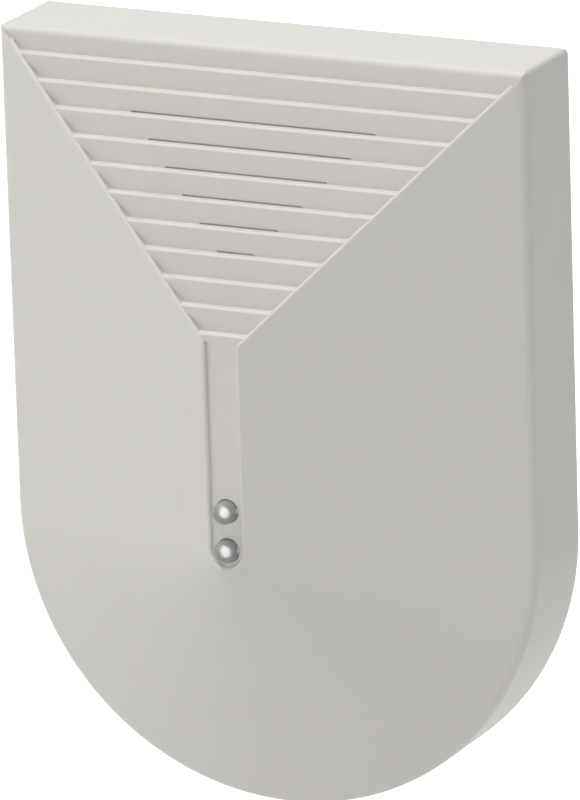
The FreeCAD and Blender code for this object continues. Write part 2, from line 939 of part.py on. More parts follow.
def chip_rows(corner, counts, spacing, height):
    chips = []
    for column in range(counts[0]):
        for row in range(counts[1]):
            x = corner[0] + column * spacing[0]
            z = corner[1] + row * spacing[1]
            chips.append(centred(x, z, chip_length, chip_width, board_front, board_front + height))
    return Part.makeCompound(chips)


def chip_resistors():
    counts = (resistor_column_count, resistor_row_count)
    return chip_rows(resistor_corner, counts, resistor_spacing, resistor_height)


# Two short columns of chips, one on each side of the microphone.
def ceramic_capacitors():
    low = mic_z - (ceramic_row_count - 1) * ceramic_spacing / 2
    counts = (2, ceramic_row_count)
    return chip_rows((-ceramic_x, low), counts, (2 * ceramic_x, ceramic_spacing), ceramic_height)


nodes = {
    "front_cover": front_cover(),
    "rear_base": rear_base(),
    "circuit_board": circuit_board(),
    "board_screws": board_screws(),
    "microphone_capsule": microphone_capsule(),
    "microphone_felt": microphone_felt(),
    "microphone_boot": microphone_boot(),
    "led_lower": lamp(lamp_heights[0]),
    "led_upper": lamp(lamp_heights[1]),
    "led_leads": lamp_leads(),
    "led_spacer": lamp_spacer(),
    "terminal_block": terminal_block(),
    "terminal_clamps": terminal_clamps(),
    "terminal_screws": terminal_screws(),
    "tamper_switch_body": tamper_switch_body(),
    "tamper_switch_button": tamper_switch_button(),
    "trimmer_body": trimmer_body(),
    "trimmer_rotor": trimmer_rotor(),
    "alarm_relay": alarm_relay(),
    "jumper_header": jumper_header(),
    "header_pins": header_pins(),
    "jumper_caps": jumper_caps(),
    "signal_processor": small_chip(processor_place, processor_lead_count),
    "amplifier_left": small_chip((-amplifier_x, amplifier_z), amplifier_lead_count),
    "amplifier_right": small_chip((amplifier_x, amplifier_z), amplifier_lead_count),
    "electrolytic_capacitors": electrolytic_capacitors(),
    "crystal": crystal(),
    "voltage_regulator": voltage_regulator(),
    "protection_diodes": protection_diodes(),
    "chip_resistors": chip_resistors(),
    "ceramic_capacitors": ceramic_capacitors(),
}

os.makedirs("parts", exist_ok=True)
for name, shape in nodes.items():
    shape.exportStep("parts/" + name + ".step")
    print(name, len(shape.Solids), round(shape.Volume, 2), shape.isValid())
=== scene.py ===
import bpy
import bmesh
import json
import math
from mathutils import Matrix, Vector


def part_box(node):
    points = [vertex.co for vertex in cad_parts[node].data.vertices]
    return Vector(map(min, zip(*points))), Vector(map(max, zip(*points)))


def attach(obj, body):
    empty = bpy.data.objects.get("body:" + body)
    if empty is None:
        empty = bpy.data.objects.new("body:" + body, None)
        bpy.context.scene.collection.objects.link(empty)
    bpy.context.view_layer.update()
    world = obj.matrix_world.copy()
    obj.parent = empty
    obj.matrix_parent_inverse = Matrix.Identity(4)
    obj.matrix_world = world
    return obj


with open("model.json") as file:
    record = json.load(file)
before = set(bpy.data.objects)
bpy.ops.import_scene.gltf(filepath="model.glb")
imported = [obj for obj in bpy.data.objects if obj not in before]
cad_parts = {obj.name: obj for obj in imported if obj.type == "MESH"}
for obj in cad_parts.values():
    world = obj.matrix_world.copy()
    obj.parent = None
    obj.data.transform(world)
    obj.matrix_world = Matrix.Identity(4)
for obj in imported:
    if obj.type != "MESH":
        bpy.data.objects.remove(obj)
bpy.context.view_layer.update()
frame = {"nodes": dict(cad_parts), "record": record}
scene = bpy.context.scene
scene.view_settings.view_transform = "Standard"
nodes = frame["nodes"]
mm = 0.001


def addNode(tree, kind, values=None):
    node = tree.nodes.new(kind)
    for socket, value in (values or {}).items():
        node.inputs[socket].default_value = value
    return node


def startMaterial(name, values):
    material = bpy.data.materials.new(name)
    material.use_nodes = True
    tree = material.node_tree
    shader = tree.nodes["Principled BSDF"]
    shader.inputs["Base Color"].default_value = (*values["colour"], 1)
    shader.inputs["Roughness"].default_value = values["roughness"]
    shader.inputs["Metallic"].default_value = values.get("metallic", 0)
    for socket in ("IOR", "Coat Weight", "Coat Roughness", "Sheen Weight", "Sheen Roughness",
                   "Transmission Weight", "Subsurface Weight", "Subsurface Scale", "Anisotropic"):
        if socket in values:
            shader.inputs[socket].default_value = values[socket]
    return material, tree, shader


def addShades(tree, shader, coordinates, values):
    # two close colours that drift into each other, and a roughness that follows
    drift = addNode(tree, "ShaderNodeTexNoise", {
        "Scale": values["driftScale"], "Detail": 4, "Roughness": 0.6,
    })
    tree.links.new(coordinates, drift.inputs["Vector"])
    ramp = addNode(tree, "ShaderNodeValToRGB")
    low = [c * (1 - values["shade"]) for c in values["colour"]]
    high = [min(1, c * (1 + values["shade"])) for c in values["colour"]]
    ramp.color_ramp.elements[0].position = 0.3
    ramp.color_ramp.elements[0].color = (*low, 1)
    ramp.color_ramp.elements[1].position = 0.7
    ramp.color_ramp.elements[1].color = (*high, 1)
    tree.links.new(drift.outputs["Fac"], ramp.inputs["Fac"])
    spread = values.get("roughnessSpread", 0.05)
    rough = addNode(tree, "ShaderNodeMapRange", {
        "From Min": 0.3, "From Max": 0.7,
        "To Min": values["roughness"] - spread, "To Max": values["roughness"] + spread,
    })
    tree.links.new(drift.outputs["Fac"], rough.inputs["Value"])
    tree.links.new(rough.outputs["Result"], shader.inputs["Roughness"])
    tree.links.new(ramp.outputs["Color"], shader.inputs["Base Color"])
    return ramp.outputs["Color"]


def addGrain(tree, shader, coordinates, values):
    # the fine texture of the tool's surface
    stretch = addNode(tree, "ShaderNodeMapping", {"Scale": values.get("grainStretch", (1, 1, 1))})
    tree.links.new(coordinates, stretch.inputs["Vector"])
    grain = addNode(tree, "ShaderNodeTexNoise", {
        "Scale": values["grainScale"], "Detail": 3, "Roughness": 0.55,
    })
    tree.links.new(stretch.outputs["Vector"], grain.inputs["Vector"])
    bump = addNode(tree, "ShaderNodeBump", {
        "Strength": values["grainStrength"], "Distance": values["grainDepth"],
    })
    tree.links.new(grain.outputs["Fac"], bump.inputs["Height"])
    tree.links.new(bump.outputs["Normal"], shader.inputs["Normal"])
    return grain, bump


def makeFinish(name, values):
    material, tree, shader = startMaterial(name, values)
    coordinates = addNode(tree, "ShaderNodeTexCoord").outputs["Object"]
    addShades(tree, shader, coordinates, values)
    addGrain(tree, shader, coordinates, values)
    return material


housingFinish = makeFinish("housingPlastic", {
    "colour": (0.640, 0.622, 0.588), "roughness": 0.46, "roughnessSpread": 0.04, "IOR": 1.52,
    "shade": 0.012, "driftScale": 45, "grainScale": 3800, "grainStrength": 0.10, "grainDepth": 0.00003,
})
baseFinish = makeFinish("basePlastic", {
    "colour": (0.600, 0.583, 0.552), "roughness": 0.52, "roughnessSpread": 0.05, "IOR": 1.52,
    "shade": 0.02, "driftScale": 60, "grainScale": 3200, "grainStrength": 0.16, "grainDepth": 0.00003,
})
steelFinish = makeFinish("platedSteel", {
    "colour": (0.50, 0.50, 0.51), "roughness": 0.32, "metallic": 1,
    "shade": 0.05, "driftScale": 700, "grainScale": 2500, "grainStrength": 0.15, "grainDepth": 0.00002,
})
tinFinish = makeFinish("tinnedLead", {
    "colour": (0.52, 0.52, 0.51), "roughness": 0.30, "metallic": 1,
    "shade": 0.06, "driftScale": 900, "grainScale": 2800, "grainStrength": 0.2, "grainDepth": 0.00003,
})
goldFinish = makeFinish("goldPin", {
    "colour": (0.83, 0.60, 0.22), "roughness": 0.24, "metallic": 1,
    "shade": 0.05, "driftScale": 900, "grainScale": 2800, "grainStrength": 0.1, "grainDepth": 0.00002,
})
canFinish = makeFinish("aluminiumCan", {
    "colour": (0.52, 0.53, 0.54), "roughness": 0.34, "metallic": 1, "Anisotropic": 0.4,
    "shade": 0.03, "driftScale": 500, "grainScale": 2200, "grainStretch": (1, 6, 1),
    "grainStrength": 0.2, "grainDepth": 0.00002,
})
feltFinish = makeFinish("blackFelt", {
    "colour": (0.022, 0.022, 0.024), "roughness": 0.95, "Sheen Weight": 0.4, "Sheen Roughness": 0.5,
    "shade": 0.35, "driftScale": 2600, "grainScale": 4200, "grainStrength": 0.9, "grainDepth": 0.00012,
})
rubberFinish = makeFinish("bootRubber", {
    "colour": (0.028, 0.028, 0.03), "roughness": 0.72, "shade": 0.15, "driftScale": 400,
    "grainScale": 2400, "grainStrength": 0.3, "grainDepth": 0.00004,
})
blackFinish = makeFinish("blackPlastic", {
    "colour": (0.022, 0.022, 0.024), "roughness": 0.48, "shade": 0.12, "driftScale": 500,
    "grainScale": 3000, "grainStrength": 0.3, "grainDepth": 0.00003,
})
terminalFinish = makeFinish("terminalPlastic", {
    "colour": (0.018, 0.17, 0.065), "roughness": 0.36, "shade": 0.06, "driftScale": 260,
    "grainScale": 2600, "grainStrength": 0.18, "grainDepth": 0.00003,
})
buttonFinish = makeFinish("whitePlastic", {
    "colour": (0.74, 0.73, 0.69), "roughness": 0.42, "shade": 0.02, "driftScale": 300,
    "grainScale": 2600, "grainStrength": 0.15, "grainDepth": 0.00003,
})
trimmerFinish = makeFinish("bluePlastic", {
    "colour": (0.020, 0.085, 0.33), "roughness": 0.40, "shade": 0.06, "driftScale": 300,
    "grainScale": 2600, "grainStrength": 0.18, "grainDepth": 0.00003,
})
relayFinish = makeFinish("relayPlastic", {
    "colour": (0.66, 0.645, 0.60), "roughness": 0.34, "shade": 0.02, "driftScale": 200,
    "grainScale": 2600, "grainStrength": 0.1, "grainDepth": 0.00002,
})
ceramicFinish = makeFinish("tanCeramic", {
    "colour": (0.34, 0.215, 0.115), "roughness": 0.55, "shade": 0.08, "driftScale": 1200,
    "grainScale": 5200, "grainStrength": 0.35, "grainDepth": 0.00002,
})


trackFinish = makeFinish("maskedTrack", {
    "colour": (0.020, 0.185, 0.068), "roughness": 0.32, "shade": 0.08, "driftScale": 200,
    "grainScale": 1500, "grainStrength": 0.2, "grainDepth": 0.00002,
    "Coat Weight": 0.25, "Coat Roughness": 0.2,
})
legendFinish = makeFinish("whiteInk", {
    "colour": (0.72, 0.72, 0.70), "roughness": 0.6, "shade": 0.06, "driftScale": 900,
    "grainScale": 4000, "grainStrength": 0.3, "grainDepth": 0.00001,
})


def makeBoardFinish(values):
    # green solder mask on both faces, bare laminate along the edges
    material, tree, shader = startMaterial("boardLaminate", values)
    coordinates = addNode(tree, "ShaderNodeTexCoord")
    mask = addShades(tree, shader, coordinates.outputs["Object"], values)
    addGrain(tree, shader, coordinates.outputs["Object"], values)
    split = addNode(tree, "ShaderNodeSeparateXYZ")
    tree.links.new(coordinates.outputs["Normal"], split.inputs["Vector"])
    facing = addNode(tree, "ShaderNodeMath")
    facing.operation = "ABSOLUTE"
    tree.links.new(split.outputs["Y"], facing.inputs[0])
    flat = addNode(tree, "ShaderNodeMath")
    flat.operation = "GREATER_THAN"
    flat.inputs[1].default_value = 0.5
    tree.links.new(facing.outputs["Value"], flat.inputs[0])
    mix = addNode(tree, "ShaderNodeMix")
    mix.data_type = "RGBA"
    mix.inputs[6].default_value = (*values["edgeColour"], 1)
    tree.links.new(flat.outputs["Value"], mix.inputs[0])
    tree.links.new(mask, mix.inputs[7])
    tree.links.new(mix.outputs[2], shader.inputs["Base Color"])
    return material


boardFinish = makeBoardFinish({
    "colour": (0.010, 0.120, 0.042), "edgeColour": (0.36, 0.34, 0.16), "roughness": 0.34,
    "roughnessSpread": 0.05, "shade": 0.10, "driftScale": 130, "grainScale": 1500, "grainStrength": 0.25, "grainDepth": 0.00003,
    "Coat Weight": 0.25, "Coat Roughness": 0.2,
})


def makeResinFinish(values):
    material, tree, shader = startMaterial("clearResin", values)
    coordinates = addNode(tree, "ShaderNodeTexCoord").outputs["Object"]
    addGrain(tree, shader, coordinates, values)
    return material


resinFinish = makeResinFinish({
    "colour": (0.98, 0.985, 0.98), "roughness": 0.27, "IOR": 1.53, "Transmission Weight": 0.76,
    "grainScale": 500, "grainStrength": 0.05, "grainDepth": 0.00002,
})

screenFinish = makeFinish("dustScreen", {
    "colour": (0.46, 0.48, 0.46), "roughness": 0.8, "shade": 0.08, "driftScale": 1500,
    "grainScale": 9000, "grainStrength": 0.6, "grainDepth": 0.00003,
})
gelFinish = makeFinish("paleGel", {
    "colour": (0.93, 0.93, 0.91), "roughness": 0.35, "shade": 0.02, "driftScale": 900,
    "grainScale": 3000, "grainStrength": 0.05, "grainDepth": 0.00001,
})

finishOfSlot = {
    "housing_plastic": housingFinish, "board_laminate": boardFinish, "steel": steelFinish,
    "aluminium_can": canFinish, "felt": feltFinish, "boot_rubber": rubberFinish, "led_resin": resinFinish,
    "black_plastic": blackFinish, "terminal_plastic": terminalFinish, "button_plastic": buttonFinish,
    "trimmer_plastic": trimmerFinish, "relay_plastic": relayFinish, "gold_pins": goldFinish,
    "ceramic": ceramicFinish,
}
for row in frame["record"]["subparts"]:
    node = nodes[row["node"]]
    for slot in node.material_slots:
        slot.material = finishOfSlot[row["material_slot"]]
for slot in nodes["rear_base"].material_slots:
    slot.material = baseFinish
for slot in nodes["led_leads"].material_slots:
    slot.material = tinFinish
print("materials done")


cameraValues = {
    "position": (0.419075, -0.845470, 0.294626),
    "right": (0.89832, 0.43833, -0.02980),
    "up": (-0.10045, 0.27095, 0.95734),
    "lens": 411.39,
}


def addCamera(values):
    data = bpy.data.cameras.new("photoCamera")
    data.lens = values["lens"]
    data.sensor_width = 36
    data.clip_start = 0.01
    data.clip_end = 20
    camera = bpy.data.objects.new("photoCamera", data)
    right = Vector(values["right"])
    up = Vector(values["up"])
    turn = Matrix((right, up, right.cross(up))).transposed().to_4x4()
    camera.matrix_world = Matrix.Translation(values["position"]) @ turn
    scene.collection.objects.link(camera)
    scene.camera = camera


addCamera(cameraValues)
print("camera done")


studioValues = {
    "floorHeight": -0.046, "floorHalf": 3.0, "floorColour": (0.80, 0.80, 0.80),
    "floorSeen": 0.66, "worldSeen": 1.0, "worldStrength": 0.24,
    "lights": [
        {"name": "topLight", "place": (-0.20, -0.35, 1.25), "width": 0.9, "power": 13.9},
        {"name": "leftLight", "place": (-1.20, -0.75, 0.45), "width": 0.8, "power": 3.15},
        {"name": "rightLight", "place": (1.35, -0.20, 0.45), "width": 0.8, "power": 1.15},
        {"name": "frontLight", "place": (0.10, -1.35, 0.34), "width": 0.7, "power": 0.90},
        {"name": "backLight", "place": (-0.35, 0.95, 0.95), "width": 0.9, "power": 1.5},
    ],
}


def addWorld(values):
    world = bpy.data.worlds.new("studio")
    scene.world = world
    world.use_nodes = True
    tree = world.node_tree
    background = tree.nodes["Background"]
    background.inputs["Color"].default_value = (1, 1, 1, 1)
    path = addNode(tree, "ShaderNodeLightPath")
    seen = path.outputs["Is Camera Ray"]
    for other in ("Is Glossy Ray", "Is Transmission Ray"):
        either = addNode(tree, "ShaderNodeMath")
        either.operation = "MAXIMUM"
        tree.links.new(seen, either.inputs[0])
        tree.links.new(path.outputs[other], either.inputs[1])
        seen = either.outputs["Value"]
    strength = addNode(tree, "ShaderNodeMapRange", {
        "To Min": values["worldStrength"], "To Max": values["worldSeen"],
    })
    tree.links.new(seen, strength.inputs["Value"])
    tree.links.new(strength.outputs["Result"], background.inputs["Strength"])


def addFloor(values):
    half = values["floorHalf"]
    mesh = bpy.data.meshes.new("floor")
    corners = [(-half, -half, 0), (half, -half, 0), (half, half, 0), (-half, half, 0)]
    mesh.from_pydata([(x, y, z + values["floorHeight"]) for x, y, z in corners], [], [(0, 1, 2, 3)])
    floor = bpy.data.objects.new("floor", mesh)
    scene.collection.objects.link(floor)
    material, tree, shader = startMaterial("paleFloor", {"colour": values["floorColour"], "roughness": 0.9})
    shader.inputs["Emission Color"].default_value = (1, 1, 1, 1)
    path = addNode(tree, "ShaderNodeLightPath")
    seen = path.outputs["Is Camera Ray"]
    for other in ("Is Glossy Ray", "Is Transmission Ray"):
        either = addNode(tree, "ShaderNodeMath")
        either.operation = "MAXIMUM"
        tree.links.new(seen, either.inputs[0])
        tree.links.new(path.outputs[other], either.inputs[1])
        seen = either.outputs["Value"]
    strength = addNode(tree, "ShaderNodeMapRange", {"To Min": 0, "To Max": values["floorSeen"]})
    tree.links.new(seen, strength.inputs["Value"])
    tree.links.new(strength.outputs["Result"], shader.inputs["Emission Strength"])
    mesh.materials.append(material)


def addLight(values, target=(0, -0.012, 0.012)):
    data = bpy.data.lights.new(values["name"], "AREA")
    data.energy = values["power"]
    data.size = values["width"]
    light = bpy.data.objects.new(values["name"], data)
    light.location = values["place"]
    aim = Vector(target) - Vector(values["place"])
    light.rotation_euler = aim.to_track_quat("-Z", "Y").to_euler()
    scene.collection.objects.link(light)


addWorld(studioValues)
addFloor(studioValues)
for lightValues in studioValues["lights"]:
    addLight(lightValues)
print("studio done")


def makePiece(name, form, material, body, bevel=0, smooth=True):
    mesh = bpy.data.meshes.new(name)
    bmesh.ops.recalc_face_normals(form, faces=form.faces)
    form.to_mesh(mesh)
    form.free()
    mesh.materials.append(material)
    for face in mesh.polygons:
        face.use_smooth = smooth
    piece = bpy.data.objects.new(name, mesh)
    scene.collection.objects.link(piece)
    if bevel:
        rounding = piece.modifiers.new("rounding", "BEVEL")
        rounding.width = bevel
        rounding.segments = 2
        rounding.limit_method = "ANGLE"
        rounding.harden_normals = True
    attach(piece, body)
    return piece


# a turned form about an axis that points out of the wall, from (radius, out) pairs in mm
def addTurned(form, x, z, profile, steps=32):
    rings = []
    for radius, out in profile:
        ring = []
        for n in range(steps):
            angle = 2 * math.pi * n / steps
            ring.append(form.verts.new((
                (x + radius * math.cos(angle)) * mm, -out * mm, (z + radius * math.sin(angle)) * mm)))
        rings.append(ring)
    for low, high in zip(rings, rings[1:]):
        for n in range(steps):
            form.faces.new((low[n], low[(n + 1) % steps], high[(n + 1) % steps], high[n]))
    form.faces.new(rings[0])
    form.faces.new(rings[-1])


def addBlock(form, x0, x1, out0, out1, z0, z1):
    corners = [form.verts.new((x * mm, -out * mm, z * mm)) for out in (out0, out1) for x, z in
               ((x0, z0), (x1, z0), (x1, z1), (x0, z1))]
    for face in ((0, 1, 2, 3), (4, 5, 6, 7), (0, 1, 5, 4), (1, 2, 6, 5), (2, 3, 7, 6), (3, 0, 4, 7)):
        form.faces.new([corners[n] for n in face])


# a stamped plate: an outline of (x, out) points with a thickness along Z
def addPlate(form, outline, z0, z1):
    low = [form.verts.new((x * mm, -out * mm, z0 * mm)) for x, out in outline]
    high = [form.verts.new((x * mm, -out * mm, z1 * mm)) for x, out in outline]
    for n in range(len(outline)):
        after = (n + 1) % len(outline)
        form.faces.new((low[n], low[after], high[after], high[n]))
    form.faces.new(low)
    form.faces.new(high)


lampInside = {
    "leadPitch": 2.54, "leadWidth": 0.45, "thickness": 0.4, "shoulder": 1.0, "legReach": 0.85, "legWidth": 0.34,
    "cupRadius": 0.44, "cupDepth": 0.4, "cupBelowTip": 1.3, "gelRadius": 0.36, "gelRise": 0.12,
    "anvilBelowRim": 0.55, "postBelowRim": 0.8,
}


# the stamped lead frame in the resin, its cup, and the pale gel that fills the cup
def addLampInside(name, node, values):
    low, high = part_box(node)
    z = (low.z + high.z) / 2 / mm
    rim = -low.y / mm - values["cupBelowTip"]
    back = -high.y / mm + 0.05
    shoulder = back + values["shoulder"]
    floor = rim - values["cupDepth"]
    cup = values["cupRadius"]
    outside = values["leadPitch"] / 2 + values["leadWidth"] / 2
    inside = values["leadPitch"] / 2 - values["leadWidth"] / 2
    leg = values["legReach"]
    stem = leg - values["legWidth"]
    half = values["thickness"] / 2
    form = bmesh.new()
    addTurned(form, 0, z, [(cup * 0.6, floor - 0.1), (cup, floor + 0.15), (cup, rim), (cup * 0.88, rim),
                           (cup * 0.6, floor)])
    neck = rim - values["anvilBelowRim"]
    anvil = [(-outside, back), (-outside, shoulder - 0.3), (-leg, shoulder), (-leg, neck - 0.5), (-cup * 0.7, neck),
             (cup * 0.7, neck), (cup * 0.5, neck - 0.5), (-stem, neck - 0.9), (-stem, shoulder),
             (-inside, shoulder - 0.3), (-inside, back)]
    addPlate(form, anvil, z - half, z + half)
    top = rim - values["postBelowRim"]
    post = [(outside, back), (outside, shoulder - 0.3), (leg, shoulder), (leg, top - 0.2), (leg - 0.15, top),
            (stem, top), (stem, shoulder), (inside, shoulder - 0.3), (inside, back)]
    addPlate(form, post, z - half, z + half)
    makePiece(name + "_frame", form, tinFinish, "base", bevel=0.00004)
    form = bmesh.new()
    gel = values["gelRadius"]
    addTurned(form, 0, z, [(gel * 0.9, floor + 0.1), (gel, rim - 0.02), (gel * 0.7, rim + values["gelRise"] * 0.6),
                           (gel * 0.3, rim + values["gelRise"])])
    makePiece(name + "_gel", form, gelFinish, "base")


addLampInside("lamp_lower", "led_lower", lampInside)
addLampInside("lamp_upper", "led_upper", lampInside)
print("lamps done")


def boxOf(node):
    # a node's box in mm: left, right, back, front, bottom, top; back and front are distances from the wall
    low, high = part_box(node)
    return low.x / mm, high.x / mm, -high.y / mm, -low.y / mm, low.z / mm, high.z / mm


# the middles of equal parts that stand in rows and columns
def gridPlaces(node, columns, rows, length, depth):
    left, right, back, front, bottom, top = boxOf(node)
    places = []
    for column in range(columns):
        for row in range(rows):
            x = left + length / 2 + column * (right - left - length) / max(columns - 1, 1)
            z = bottom + depth / 2 + row * (top - bottom - depth) / max(rows - 1, 1)
            places.append((x, z))
    return places


# a closed outline of (x, z) points, raised from one distance to another
def addSlab(form, outline, out0, out1):
    low = [form.verts.new((x * mm, -out0 * mm, z * mm)) for x, z in outline]
    high = [form.verts.new((x * mm, -out1 * mm, z * mm)) for x, z in outline]
    for n in range(len(outline)):
        after = (n + 1) % len(outline)
        form.faces.new((low[n], low[after], high[after], high[n]))
    form.faces.new(low)
    form.faces.new(high)


# an outline of (z, out) points, drawn across from one x to another
def addRail(form, outline, x0, x1):
    low = [form.verts.new((x0 * mm, -out * mm, z * mm)) for z, out in outline]
    high = [form.verts.new((x1 * mm, -out * mm, z * mm)) for z, out in outline]
    for n in range(len(outline)):
        after = (n + 1) % len(outline)
        form.faces.new((low[n], low[after], high[after], high[n]))
    form.faces.new(low)
    form.faces.new(high)


# a flat strip along a bent line of (x, z) points
def addStrip(form, points, width, out0, out1, closed=False):
    count = len(points)
    sides = []
    for n in range(count):
        here = Vector(points[n])
        before = Vector(points[n - 1]) if closed or n else here * 2 - Vector(points[n + 1])
        after = Vector(points[(n + 1) % count]) if closed or n < count - 1 else here * 2 - before
        first = (here - before).normalized()
        second = (after - here).normalized()
        across = Vector((-first.y - second.y, first.x + second.x)).normalized()
        half = width / 2 / max(0.5, across.dot(Vector((-first.y, first.x))))
        corner = [here + across * half, here - across * half]
        places = [(p.x * mm, -out * mm, p.y * mm) for p in corner for out in (out0, out1)]
        sides.append([form.verts.new(place) for place in places])
    for n in range(count if closed else count - 1):
        a, b = sides[n], sides[(n + 1) % count]
        for i, j in ((0, 1), (1, 3), (3, 2), (2, 0)):
            form.faces.new((a[i], a[j], b[j], b[i]))
    if not closed:
        for end in (sides[0], sides[-1]):
            form.faces.new((end[0], end[1], end[3], end[2]))


def roundOutline(x, z, radius, steps=40, start=0, turn=360):
    angles = [math.radians(start + turn * n / steps) for n in range(steps + (turn < 360))]
    return [(x + radius * math.cos(a), z + radius * math.sin(a)) for a in angles]


def boxOutline(left, right, bottom, top):
    return [(left, bottom), (right, bottom), (right, top), (left, top)]


slotScreens = {
    "top": 45.35, "riserOut": 12.56, "pitch": 2.59, "rise": 1.0, "count": 6, "longest": 28.7,
    "shorterBy": 4.86, "height": 0.2, "setBack": 0.15, "thickness": 0.1,
}


# a fine screen just behind the mouth of each sound slot, which keeps dust out
def addSlotScreens(values):
    form = bmesh.new()
    for n in range(values["count"]):
        half = (values["longest"] - n * values["shorterBy"]) / 2
        foot = values["top"] - n * values["pitch"]
        front = values["riserOut"] + n * values["rise"] - values["setBack"]
        outline = boxOutline(-half, half, foot - 0.01, foot + values["height"] + 0.01)
        addSlab(form, outline, front - values["thickness"], front)
    makePiece("slot_screens", form, screenFinish, "cover", smooth=False)


addSlotScreens(slotScreens)
print("screens done")

louvreEdges = {
    "ridgeOut": 22.8, "facetFall": 0.3935, "apexHeight": 21.55, "climb": 1.0193, "inner": 1.95, "outer": 29.6,
    "radius": 0.32, "overhang": -0.21, "sink": 0.06, "lowerFade": 0.5, "upperFade": 2.5, "steps": 48,
}


# the rounded edge of each facet where it meets the louvre, sunk into the cover at both ends
def addLouvreEdges(values):
    form = bmesh.new()
    for side in (-1, 1):
        def edgeAt(reach):
            out = values["ridgeOut"] - values["facetFall"] * reach
            return Vector((side * reach, -out, values["apexHeight"] + values["climb"] * reach))
        first = edgeAt(values["inner"])
        last = edgeAt(values["outer"])
        along = (last - first).normalized()
        outward = Vector((side * values["facetFall"], -1, 0)).normalized()
        across = outward.cross(along) * side
        centre = across * values["overhang"] - outward * values["radius"]
        places = [
            first + centre - outward * values["sink"], first + along * values["lowerFade"] + centre,
            last - along * values["upperFade"] + centre, last + centre - outward * values["sink"],
        ]
        rings = []
        for place in places:
            ring = []
            for n in range(values["steps"]):
                turn = 2 * math.pi * n / values["steps"]
                point = place + (outward * math.cos(turn) + across * math.sin(turn)) * values["radius"]
                ring.append(form.verts.new(point * mm))
            rings.append(ring)
        for low, high in zip(rings, rings[1:]):
            for n in range(values["steps"]):
                after = (n + 1) % values["steps"]
                form.faces.new((low[n], low[after], high[after], high[n]))
        form.faces.new(rings[0])
        form.faces.new(rings[-1])
    makePiece("louvre_edges", form, housingFinish, "cover")


addLouvreEdges(louvreEdges)
print("louvre edges done")

boardFront = boxOf("signal_processor")[2]

boardTracks = {
    "height": 0.03, "thinHeight": 0.022, "thin": 0.3, "wide": 0.9,
    "thinPaths": [
        [(-5.4, 34.4), (-7.4, 34.4)], [(5.4, 34.4), (7.4, 34.4)],
        [(-9.2, 32.0), (-10.6, 32.0), (-10.7, 32.4)], [(9.2, 36.8), (10.0, 37.6), (10.7, 37.9)],
        [(-12.0, 32.2), (-12.0, 28.0), (-13.3, 26.7), (-13.3, 23.6)],
        [(-13.2, 32.2), (-13.2, 29.2), (-15.9, 26.5), (-15.9, 23.6)],
        [(-14.5, 32.2), (-14.5, 30.4), (-17.1, 27.8), (-17.1, 23.6)],
        [(12.0, 32.2), (12.0, 27.4), (9.7, 25.1), (-9.0, 25.1), (-10.7, 23.6)],
        [(10.7, 32.2), (10.7, 28.4), (8.3, 26.0), (-9.6, 26.0), (-12.0, 23.6)],
        [(8.1, 20.9), (-9.9, 20.9)], [(8.1, 20.0), (-9.9, 20.0)],
        [(-12.0, 17.2), (-12.0, 9.0), (-10.9, 7.9), (-10.9, 6.3)],
        [(-10.8, 17.2), (-10.8, 9.8), (-9.6, 8.6), (-9.6, 6.3)],
        [(-13.3, 17.2), (-13.3, 8.2), (-13.3, 4.8)],
        [(-18.4, 17.4), (-22.2, 13.6), (-22.2, -1.0), (-20.9, -2.6)],
        [(-17.1, 17.2), (-17.1, 15.2)],
        [(17.4, 15.6), (17.4, 24.0), (14.5, 26.9), (14.5, 32.2)],
        [(21.0, 12.0), (22.6, 10.4), (22.6, -1.0), (21.9, -2.7)],
        [(16.1, -4.6), (16.1, -2.8)], [(19.0, -4.6), (19.0, -2.8)],
        [(-5.6, -2.0), (-5.6, 3.0)],
    ],
    "widePaths": [
        [(-3.6, 10.8), (-3.6, 7.6), (-4.4, 6.8), (-4.4, -2.6), (-8.7, -6.9)],
        [(4.6, 10.8), (4.6, -2.6), (8.7, -6.9)],
        [(3.2, 10.8), (3.2, -4.4), (1.8, -5.8), (1.8, -7.3)],
        [(-24.4, 30.0), (-24.4, 2.0), (-22.4, 0.0), (-22.4, -3.2)],
        [(24.4, 30.0), (24.4, 0.0), (22.8, -1.6)],
        [(14.9, -2.2), (12.9, -0.2)], [(17.6, 4.2), (17.6, 8.4)],
    ],
    "vias": [
        (-7.0, 29.0), (7.0, 29.4), (-9.0, 27.6), (3.0, 27.6), (-20.4, 28.4), (-20.4, 24.6), (20.6, 28.6),
        (20.6, 25.2), (-6.0, 22.6), (5.6, 22.4), (-21.0, 7.0), (-13.3, 4.6), (-6.4, -1.2), (6.8, -3.0),
        (12.4, -7.4), (-12.2, -8.0), (23.2, 22.0), (-23.0, 32.6), (12.4, 8.6), (10.4, 9.6),
    ],
    "testPads": [(-21.8, 21.4), (-21.8, 18.0), (22.0, 18.4), (3.6, 30.0), (-16.4, -9.2)],
}


def addBoardTracks(values):
    front = boardFront + values["height"]
    form = bmesh.new()
    for path in values["thinPaths"]:
        addStrip(form, path, values["thin"], boardFront, boardFront + values["thinHeight"])
    for path in values["widePaths"]:
        addStrip(form, path, values["wide"], boardFront, front)
    makePiece("board_tracks", form, trackFinish, "base", smooth=False)
    form = bmesh.new()
    for x, z in values["vias"]:
        via = [(0.36, boardFront), (0.36, front), (0.17, front), (0.15, boardFront + 0.005)]
        addTurned(form, x, z, via, 20)
    for x, z in values["testPads"]:
        addTurned(form, x, z, [(0.75, boardFront), (0.72, front + 0.03), (0.4, front + 0.08)], 28)
    makePiece("board_vias", form, tinFinish, "base")


addBoardTracks(boardTracks)

screwRings = {"inner": 1.95, "outer": 2.5, "height": 0.035, "upper": (21.2, 36.0), "lower": (18.6, -9.4)}


